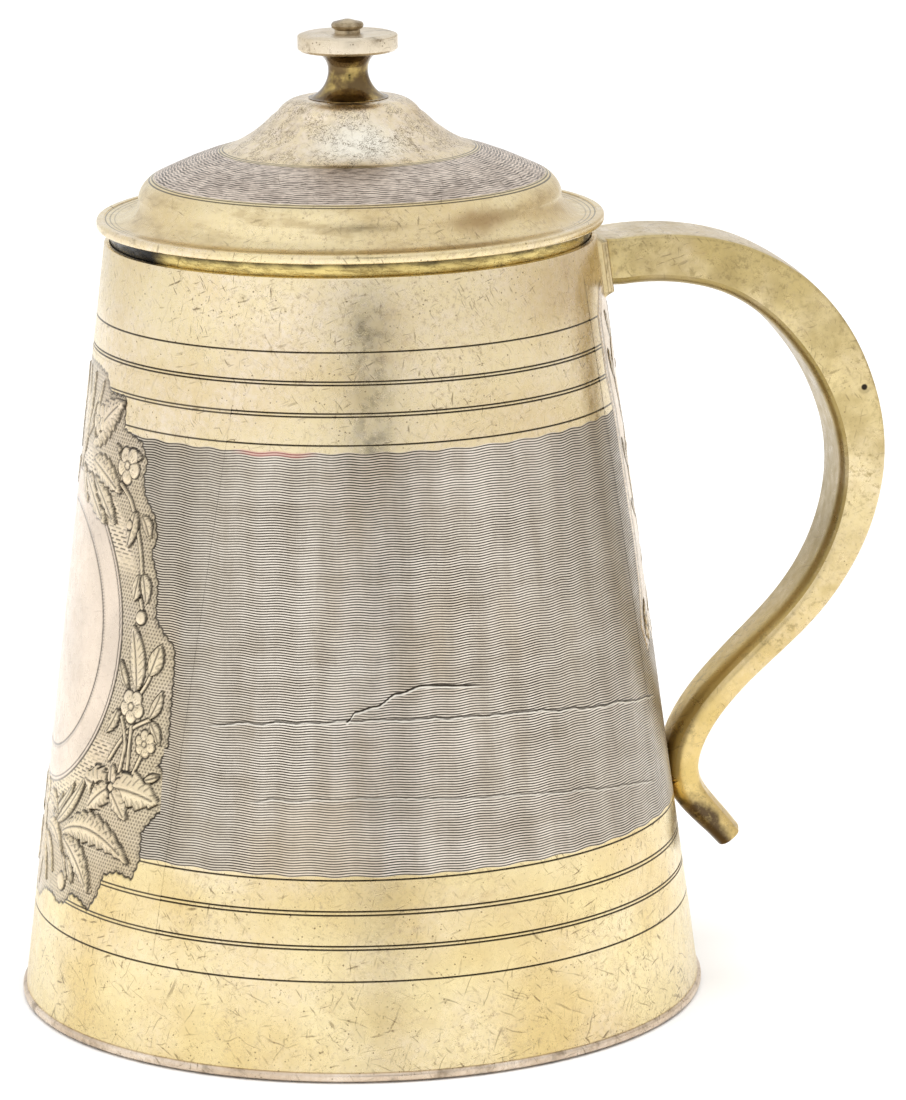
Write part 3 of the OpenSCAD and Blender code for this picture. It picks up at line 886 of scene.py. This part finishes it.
def build_cartouche(material):
    """Plain round reserve in a ring, in a wreath of leaves and flowers on punched ground."""
    sheet = Sheet(math.pi, CART_HALF, CART_LOW, CART_HIGH, 0.19)
    mirrored = [(-s, z) for s, z in WREATH_EDGE[::-1] if s > 0]
    edge, along = sheet.border(WREATH_EDGE + mirrored)
    edge = edge + 0.3 * np.abs(np.sin(along * math.pi / 1.5))
    inside = np.clip(edge / 0.1 + 0.5, 0, 1)
    sheet.cartouche = inside.copy()
    around = np.hypot(sheet.s / 23.4, (sheet.z - PLAQUE_Z) / 24.3)
    ring = (1 - around) * 23.8                       # distance inside the outer ring
    ground = inside * np.clip(-ring / 0.15, 0, 1)
    near = np.clip(1.5 - (-ring - 3.2), 0, 1) * (sheet.z < 90)
    level = near * np.clip((np.abs(sheet.z - 59) - 12) / 2, 0, 1)
    sheet.stipple(ground * (1 - level))
    sheet.hatch(ground * level)
    sheet.plain = np.clip(ring / 0.2 + 0.5, 0, 1) + 0.5 * ground
    sheet.relief -= 0.05 * ground
    everywhere = np.s_[:, :]
    for at, width in ((0.0, 0.3), (0.62, 0.2)):
        sheet.outline(everywhere, ring - at, width)
    inner = (1 - np.hypot(sheet.s / 18.2, (sheet.z - PLAQUE_Z) / 18.8)) * 18.5
    turn = np.arctan2(sheet.z - PLAQUE_Z, sheet.s)
    beads = 0.5 + 0.5 * np.cos(turn * 230)
    sheet.outline(everywhere, inner, 0.3)
    line = np.exp(-((inner + 0.42) / 0.2) ** 2) * beads
    sheet.ink = np.maximum(sheet.ink, line * 0.7)
    sheet.relief += 0.05 * np.exp(-((inner + 0.42) / 0.25) ** 2)
    sheet.outline(everywhere, edge, 0.4, 0.1)
    fringe = np.exp(-((edge - 0.5) / 0.2) ** 2) * (np.cos(along * TAU / 0.55) > 0) * ground
    sheet.ink = np.maximum(sheet.ink, fringe * 0.7)
    for side in (1, -1):
        for points in WREATH_STEMS:
            sheet.stem([(side * s, z) for s, z in points])
        for base, tip, width, bend, teeth in WREATH_LEAVES:
            size = math.dist(base, tip)
            sheet.leaf_on(side, base, tip, width, bend, teeth, veins=max(3, int(size * 0.9)),
                          dashes=teeth > 5, lift=0.24 + 0.055 * width)
        for (s, z), radius, petals in WREATH_FLOWERS:
            sheet.flower((side * s, z), radius, petals)
        for (s, z), radius in WREATH_BERRIES:
            sheet.berry((side * s, z), radius)
    sheet.leaf((0, 83), (0, 99.3), 5.2, 0, 8, veins=12)
    sheet.leaf((0, 32), (0, 18.2), 4.6, 0, 6, veins=9)
    sheet.flower((0, 33.2), 2.4, 6)
    middle = sheet.s.shape[0] // 2
    sheet.build("cartouche_lower", material, 0, middle, ("barrel",))
    sheet.build("cartouche_upper", material, middle, sheet.s.shape[0] - 1, ("barrel",))


REAR_PANEL = [
    (0, 112), (14.6, 110.6), (17.6, 106.5), (17.9, 97.5), (16.6, 91), (16.3, 80), (15.7, 71.5), (16.8, 64),
    (19.2, 58.5), (17, 54), (12, 56.5), (7, 53), (3.5, 50), (0, 47.5)]


REAR_STEMS = [[(0, 60), (4, 68), (9, 74), (11, 82), (7.5, 88), (4.5, 84)],
              [(9, 90), (12, 96), (10, 102), (5, 101), (5.5, 97)]]
REAR_LEAVES = [
    ((4, 68), (9.5, 66.5), 2.4, 0.3), ((9, 74), (13.4, 77), 2.2, 0.3), ((11, 82), (13.6, 87), 2.2, 0),
    ((7.5, 88), (11, 92), 2.2, 0.2), ((12, 96), (14.6, 101), 2.2, 0), ((10, 102), (13, 106.5), 2.2, 0.2),
    ((5, 101), (7, 107), 2.4, 0), ((3, 62), (11, 59), 3.0, 0.8), ((2, 59), (8, 55.2), 2.8, 0.4),
    ((14, 62), (16.4, 57.2), 2.2, 0)]


def build_rear_panel(material):
    """Bordered panel under the handle with scrolls and sprigs."""
    sheet = Sheet(0.0, REAR_HALF, REAR_LOW, REAR_HIGH, 0.22)
    mirrored = [(-s, z) for s, z in REAR_PANEL[::-1] if s > 0]
    edge, along = sheet.border(REAR_PANEL + mirrored)
    inside = np.clip(edge / 0.1 + 0.5, 0, 1)
    sheet.cartouche = inside.copy()
    sheet.plain = 0.75 * inside
    everywhere = np.s_[:, :]
    for at in (0.0, 1.5, 2.0):
        sheet.outline(everywhere, edge - at, 0.26, 0.05, 0.7)
    beads = np.exp(-((edge - 0.75) / 0.28) ** 2)
    sheet.relief += 0.06 * beads * (0.5 + 0.5 * np.cos(along * TAU / 0.8))
    sheet.ink = np.maximum(sheet.ink, beads * (np.cos(along * TAU / 0.8) < -0.3) * 0.7)
    ground = np.clip((edge - 2.2) / 0.2, 0, 1) * (sheet.z < 72)
    sheet.stipple(ground * 0.5, 0.7)
    for side in (1, -1):
        for points in REAR_STEMS:
            sheet.stem([(side * s, z) for s, z in points])
        for base, tip, width, bend in REAR_LEAVES:
            sheet.leaf_on(side, base, tip, width, bend, 4, 5)
        sheet.flower((side * 14.4, 57.6), 2.2, 5)
        sheet.berry((side * 4.5, 84), 0.9)
        sheet.berry((side * 5.5, 97), 0.9)
    sheet.flower((0, 92), 3.2, 6)
    sheet.flower((0, 60), 3.0, 5)
    sheet.leaf((0, 62), (0, 76), 3.4, 0, 6)
    sheet.leaf((0, 57), (0, 49.5), 2.8, 0, 4)
    return sheet.build("rear_panel", material, 0, sheet.s.shape[0] - 1, ("barrel",))


def build_foot(material):
    low, high = FOOT_LOW[2], FOOT_HIGH[2]
    out = FOOT_HIGH[0]
    profile = rounded([(out - 3, high, 0.1), (out - 3, low, 0.3), (out, low, 0.7), (out, high, 0.6)])
    return revolve("foot_ring", profile, material, "tankard", ("foot_wire",), count=384)


def build_lid(material):
    brim = LID_Z + 1.3
    top = ([(ROD_HOLE, 138.3), (6.0, 138.3)] + arc((7, 133.85), 4.5, 82, 32, 14)
           + arc((26.2, 149.5), 20.1, 224, 249, 16)
           + [(19.4, 130.65), (22.2, 129.8), (25, 128.75), (27.6, 127.6)]
           + arc((28.0, 122.9), 4.1, 62, 12, 14) + arc((35.6, 124.2), 3.8, 186, 262, 18)
           + [(LID_R - LID_WIRE, brim)])
    pts = [np.array(p) for p in top]
    normals = []
    for i in range(len(pts)):
        d = pts[min(i + 1, len(pts) - 1)] - pts[max(i - 1, 0)]
        d = d / np.linalg.norm(d)
        normals.append(np.array([d[1], -d[0]]))
    under = [tuple(p + n * LID_SHEET) for p, n in zip(pts[2:-1], normals[2:-1])]
    under = [(ROD_HOLE, 137.4), (6.0, 137.4)] + under + [(LID_R - LID_WIRE, under[-1][1])]
    return revolve("lid_dome", top + under[::-1], material, "lid", ("lid_cover",), count=512)


def build_rim_wire(material):
    low, high = LID_Z, RIM_WIRE_HIGH[2]
    inner = LID_R - LID_WIRE
    profile = rounded([(inner, high, 0.05), (inner, low, 0.05), (LID_R, low, 0.65), (LID_R, high, 0.65)])
    return revolve("lid_edge_wire", profile, material, "lid", ("lid_rim_wire",), count=384)


def build_bezel(material):
    top, low = BEZEL_HIGH[2], BEZEL_LOW[2]
    mouth = RIM_R - WALL - 0.04
    rise = 0.19                                  # taper: radius gained per height
    thick = 0.8
    foot, head = mouth - rise * (RIM_Z - low), mouth + rise * (top - RIM_Z)
    profile = rounded([(foot - thick, low, 0.2), (foot, low, 0.3), (mouth, RIM_Z, 0),
                       (head, top, 0.05), (head - thick, top, 0.05), (mouth - thick, RIM_Z, 0)])
    return revolve("lid_seat_collar", profile, material, "lid", ("lid_bezel",), count=384)


def build_knob(stem_material, material, cap_material):
    z0, z1 = SPOOL_LOW[2], SPOOL_HIGH[2]
    waist = 142.6
    profile = ([(ROD_HOLE, z0), (6.0, z0), (6.05, z0 + 0.1)] + arc((7.6, waist), 4.6, 247, 184, 14)
               + arc((5.9, waist - 0.05), 2.9, 172, 106, 12) + [(5.4, z1), (ROD_HOLE, z1)])
    revolve("knob_stem", profile, stem_material, "lid", ("knob_spool",), count=128)
    d0, d1, r = DISC_LOW[2], DISC_HIGH[2], DISC_HIGH[0]
    profile = rounded([(ROD_HOLE, d0), (r - 0.45, d0, 0.2), (r, d0 + 0.4, 0.2), (r, d1 - 0.3, 0.3),
                       (r - 0.9, d1, 0.5), (ROD_HOLE, d1)], closed=False)
    revolve("knob_button_disc", profile, material, "lid", ("knob_disc",), count=160)
    low, top, neck, head = ROD_LOW[2], ROD_HIGH[2], d1, ROD_HIGH[0]
    profile = ([(0, low), (1.0, low), (1.25, low + 0.25), (1.25, neck), (head - 0.5, neck),
                (head - 0.55, neck + 0.45), (head - 0.1, neck + 0.8)]
               + arc((head - 0.6, top - 1.0), 0.6, 0, 62, 6)
               + [(head * 0.42, top - 0.2), (head * 0.2, top - 0.04), (0, top)])
    revolve("knob_rivet", profile, cap_material, "lid", ("knob_rod",), count=96)


# The handle's way, as in the CAD: [x, z, thickness] of each station
HANDLE_WAY = np.array([
    (34.5, 111.6, 7.3), (40.5, 112.8, 7.3), (46.5, 113.1, 7.4), (52.3, 112.5, 7.6),
    (57.8, 111.1, 7.9), (62.7, 108.6, 8.3), (67.0, 105.4, 8.7), (70.7, 101.3, 8.8),
    (73.8, 96.6, 8.5), (76.2, 91.2, 8.0), (77.8, 85.6, 7.5), (78.3, 79.8, 7.0),
    (77.6, 74.0, 6.5), (76.0, 68.4, 6.1), (73.4, 63.0, 5.6), (70.0, 58.0, 5.3),
    (65.8, 53.6, 5.0), (61.4, 49.6, 4.9), (57.3, 45.6, 4.9), (53.7, 41.4, 5.0),
    (51.1, 37.0, 5.2), (49.9, 32.6, 5.1), (50.8, 28.4, 4.8), (53.5, 25.0, 4.4),
    (56.8, 21.6, 3.9), (60.6, 16.6, 3.4), (63.8, 12.0, 3.1)])
HANDLE_W, TAIL_W, LINER_T = 14.0, 9.0, 1.3


def handle_stations(steps=8):
    """Smooth stations: centre, outward normal, thickness, half width."""
    points = []
    for i in range(len(HANDLE_WAY) - 3):
        w = HANDLE_WAY[i:i + 4]
        for u in np.arange(steps) / steps:
            points.append(((1 - u) ** 3 * w[0] + (3 * u ** 3 - 6 * u * u + 4) * w[1]
                           + (-3 * u ** 3 + 3 * u * u + 3 * u + 1) * w[2] + u ** 3 * w[3]) / 6)
    points = np.array(points)
    keep = int(len(points) - steps * 2 / 3) + 1
    points = points[:keep]
    way = np.gradient(points[:, :2], axis=0)
    way /= np.linalg.norm(way, axis=1)[:, None]
    out = np.stack([-way[:, 1], way[:, 0]], 1)
    f = np.linspace(0, 1, len(points))
    g = np.clip((f - 0.3) / 0.7, 0, 1)
    half = (HANDLE_W + (TAIL_W - HANDLE_W) * g) / 2
    return points, out, half, f


def loft(name, sections, points, out, material, replaced):
    """Closed solid through sections of (outward, sideways) points."""
    count = len(sections[0])
    verts = []
    # the first section stands on the barrel, the rest along the way
    (x, z, _), o = points[0], out[0]
    for a, b in sections[0]:
        height = z + o[1] * a
        verts.append((math.sqrt(cone_r(height) ** 2 - b * b) + 0.02, b, height))
    for (x, z, _), o, section in zip(points, out, sections):
        verts += [(x + o[0] * a, b, z + o[1] * a) for a, b in section]
    faces = []
    for i in range(len(points)):
        for k in range(count):
            m = (k + 1) % count
            faces.append((i * count + k, i * count + m, (i + 1) * count + m, (i + 1) * count + k))
    faces.append(tuple(range(count))[::-1])
    faces.append(tuple(len(points) * count + k for k in range(count)))
    return new_object(name, verts, faces, material, "tankard", replaced, smooth_angle=50)


def build_handle(material, inner_shaded_material):
    points, out, half, f = handle_stations()
    start = int(np.argmax(points[:, 0] > cone_r(points[:, 1]) + 1.2))
    points, out, half, f = points[start:], out[start:], half[start:], f[start:]
    shell, liner = [], []
    quarter = np.radians(np.linspace(0, 90, 7))
    for t, w, s in zip(points[:, 2], half, f):
        top = t / 2
        seam = -t / 2 + LINER_T
        low = np.clip((s - 0.42) / 0.3, 0, 1)           # the lower limb is rounder
        soft = 0.5 + 1.0 * low
        crown = 0.15 + 0.35 * low
        corner = [(top - soft * (1 - math.sin(a)), w - soft * (1 - math.cos(a))) for a in quarter]
        flat = w - soft
        face = [(top + crown * (1 - (y / flat) ** 2), y) for y in np.linspace(flat, -flat, 9)[1:-1]]
        # one elliptical round runs from the inner face to the side, and the seam cuts it in two
        rise = 0.02 + 0.5 * low * (top - soft - seam)
        reach = LINER_T + rise
        cut = 1.8 * t / 7.3 + 2.0 * low
        split = math.acos(rise / reach)

        def bend(angles):
            return [(seam + rise - reach * math.cos(a), w - cut * (1 - math.sin(a))) for a in angles]

        side = bend(np.linspace(split, math.pi / 2, 6))
        inner = bend(np.linspace(0, split, 7))
        near = [(a, -b) for a, b in (side + corner)[::-1]]
        shell.append(side + corner + face + near)
        liner.append([(a, -b) for a, b in inner[::-1]] + [(-t / 2, 0)] + inner)
    loft("handle_channel", shell, points, out, material, ("handle_shell", "handle_tail_plate"))
    loft("handle_inner_strip", liner, points, out, inner_shaded_material, ("handle_liner",))


def build_collar(material):
    """Reeded plate between handle and barrel: three ridges each side, following the cone."""
    low, high = COLLAR_LOW[2], COLLAR_HIGH[2]
    half = COLLAR_HIGH[1]
    count, rows = 121, 14
    ys = np.linspace(-half, half, count)
    zs = np.linspace(low, high, rows)
    inner = max(half - 1.9, 1)
    ridge = np.clip((half - np.abs(ys)) / 1.9, 0, 1)
    stand = 0.35 + 1.15 * ridge ** 0.8 + 0.22 * np.sin(ridge * 3 * TAU - 0.6) * (np.abs(ys) > inner - 0.2)
    stand[0] = stand[-1] = 0.02
    verts = []
    for z in zs:
        edge = min(1.0, (z - low) / 0.5, (high - z) / 0.3)
        surface = [math.sqrt(cone_r(z) ** 2 - y * y) for y in ys]
        verts += [(x - 0.05 + max(0.02, s * max(0.05, edge)), y, z) for x, y, s in zip(surface, ys, stand)]
        verts += [(x - 0.3, y, z) for x, y in zip(surface[::-1], ys[::-1])]
    loop = 2 * count
    faces = []
    for i in range(rows - 1):
        for k in range(loop):
            a, b = i * loop + k, i * loop + (k + 1) % loop
            faces.append((a, b, b + loop, a + loop))
    for row in (0, rows - 1):
        for k in range(count - 1):
            a, b = row * loop + k, (row + 1) * loop - 1 - k
            faces.append((a, b, b - 1, a + 1) if row == 0 else (a, a + 1, b - 1, b))
    return new_object("handle_reeded_collar", verts, faces, material, "tankard", ("handle_collar",))


# ---------------------------------------------------------------- stage


def build_camera():
    """A long lens, slightly above, with the handle to the right; all in millimetres."""
    distance, height, away = 846.2, 259.1, math.radians(8)
    sensor, lens = 36, 185.1055
    yaw, pitch, roll = (math.radians(a) for a in (1.010, 12.715, 0.696))
    ahead = np.array([math.sin(yaw), math.cos(yaw), 0])
    forward = math.cos(pitch) * ahead - np.array([0, 0, math.sin(pitch)])
    right = np.array([math.cos(yaw), -math.sin(yaw), 0])
    up = math.sin(pitch) * ahead + np.array([0, 0, math.cos(pitch)])
    right, up = math.cos(roll) * right - math.sin(roll) * up, math.sin(roll) * right + math.cos(roll) * up
    turn = np.array([[math.cos(away), math.sin(away), 0], [-math.sin(away), math.cos(away), 0], [0, 0, 1]])
    right, up, forward = turn @ right, turn @ up, turn @ forward
    place = turn @ np.array([0, -distance, height])
    data = bpy.data.cameras.new("camera")
    data.sensor_width, data.lens = sensor, lens
    data.clip_start = 0.05
    camera = bpy.data.objects.new("camera", data)
    bpy.context.scene.collection.objects.link(camera)
    rows = [[right[i], up[i], -forward[i], place[i] * MM] for i in range(3)] + [[0, 0, 0, 1]]
    camera.matrix_world = Matrix(rows)
    bpy.context.scene.camera = camera


def build_floor():
    g = Graph("floor_paper")
    g.shader.inputs["Metallic"].default_value = 0.0
    g.colour = g.mix(g.noise(0.02, 2), (0.94, 0.94, 0.94), (0.96, 0.96, 0.96))
    g.finish(0.9)
    mesh = bpy.data.meshes.new("floor")
    size = 6.0
    corners = [(-size, -size, 0), (size, -size, 0), (size, size, 0), (-size, size, 0)]
    mesh.from_pydata(corners, [], [(0, 1, 2, 3)])
    mesh.materials.append(g.material)
    floor = bpy.data.objects.new("floor", mesh)
    floor.location.z = -0.0002
    bpy.context.scene.collection.objects.link(floor)


def area_light(name, place, target, size, power, mirrored=True):
    data = bpy.data.lights.new(name, "AREA")
    data.shape = "RECTANGLE"
    data.size, data.size_y = size
    data.energy = power
    light = bpy.data.objects.new(name, data)
    light.location = place
    light.visible_glossy = mirrored
    light.rotation_euler = (Vector(target) - Vector(place)).to_track_quat("-Z", "Y").to_euler()
    bpy.context.scene.collection.objects.link(light)


def build_light():
    """A white tent with a dim strip where the camera stands, and two large soft boxes."""
    world = bpy.data.worlds.new("tent")
    world.use_nodes = True
    bpy.context.scene.world = world
    tree = world.node_tree
    split = add_node(tree, "SeparateXYZ", {0: add_node(tree, "TexCoord", {}).outputs["Generated"]})
    east, north, up = split.outputs
    azimuth = add_node(tree, "Math", {0: north, 1: east}, operation="ARCTAN2")
    inputs = {"Value": azimuth.outputs[0], "From Min": -math.pi, "From Max": math.pi}
    ramp = add_node(tree, "ValToRGB", {0: add_node(tree, "MapRange", inputs).outputs[0]})
    stops = [(-180, (1.08, 1.08, 1.08)), (-125, (1.06, 1.06, 1.06)), (-108, (1.0, 1.0, 1.0)),
             (-99, (0.84, 0.84, 0.85)), (-95, (0.06, 0.07, 0.09)), (-86, (0.10, 0.11, 0.13)),
             (-81, (0.84, 0.83, 0.82)), (-62, (0.94, 0.92, 0.90)), (-25, (0.90, 0.87, 0.84)),
             (15, (0.74, 0.68, 0.60)), (48, (0.76, 0.70, 0.62)), (80, (0.95, 0.95, 0.95)),
             (180, (1.08, 1.08, 1.08))]
    ramp.color_ramp.interpolation = "EASE"
    while len(ramp.color_ramp.elements) < len(stops):
        ramp.color_ramp.elements.new(0.5)
    for element, (degrees, colour) in zip(ramp.color_ramp.elements, stops):
        element.position = (degrees + 180) / 360
        element.color = colour + (1,)
    inputs = {"Value": up, "From Min": 0.15, "From Max": 0.6}
    high = add_node(tree, "MapRange", inputs, interpolation_type="SMOOTHSTEP")
    inputs = {0: high.outputs[0], 6: ramp.outputs[0], 7: (1.0, 1.0, 1.0, 1.0)}
    sky = add_node(tree, "Mix", inputs, data_type="RGBA").outputs[2]
    back = tree.nodes["Background"]
    put(tree, sky, back.inputs["Color"])
    put(tree, 1.0, back.inputs["Strength"])
    area_light("left_box", (-0.9, -0.5, 0.9), (0, 0, 0.07), (1.6, 1.6), 1.2)
    area_light("top_box", (0.1, -0.1, 1.4), (0, 0, 0.07), (1.4, 1.4), 13, False)


# ---------------------------------------------------------------- build

build_camera()
build_floor()
build_light()

barrel_metal = barrel_material()
lid_metal = lid_material()
gilt = gilt_material("gilt_worn", 0.5, 0.15)
foot_gilt = gilt_material("gilt_foot", 0.8, 0.35, 0.3, (0.66, 0.52, 0.38), (0.50, 0.38, 0.27))
handle_gilt = handle_material("gilt_handle", (0.72, 0.59, 0.31), (0.54, 0.42, 0.18), 0.9, (0.70, 0.51, 0.17))
# painted shade: the inner strip facing the barrel is a darker copy of the handle's gilding, while its lower
# limb is painted lighter and warmer, painted light lifting that face
handle_inner_shaded_gilt = handle_material("gilt_handle_inner_shaded", (0.30, 0.22, 0.075), (0.22, 0.16, 0.05), 0.1,
                                    (0.80, 0.57, 0.18))
knob_gilt = gilt_material("gilt_knob", 0.7, 0.3, 0.3, (0.72, 0.63, 0.47), (0.56, 0.46, 0.28))
knob_dark = gilt_material("gilt_knob_stem", 0.05, 0.72, 0.16, (0.52, 0.38, 0.12), (0.20, 0.14, 0.05))
rivet_gilt = gilt_material("gilt_rivet", 0.4, 0.5, 0.3, (0.55, 0.45, 0.28), (0.34, 0.26, 0.15))
collar_gilt = gilt_material("gilt_collar", 0.3, 0.4, 0.3, (0.62, 0.50, 0.27), OLIVE_GOLD)
plain_silver = silver_material("silver_plain")

build_barrel(barrel_metal)
build_cartouche(barrel_metal)
build_rear_panel(barrel_metal)
build_foot(foot_gilt)
build_lid(lid_metal)
build_rim_wire(gilt)
build_bezel(bezel_material())
build_knob(knob_dark, knob_gilt, rivet_gilt)
build_handle(handle_gilt, handle_inner_shaded_gilt)
build_collar(collar_gilt)

for name in ("base_plate", "knob_washer", "knob_nut"):
    for slot in nodes[name].material_slots:
        slot.material = plain_silver

bpy.context.scene.view_settings.view_transform = "Standard"
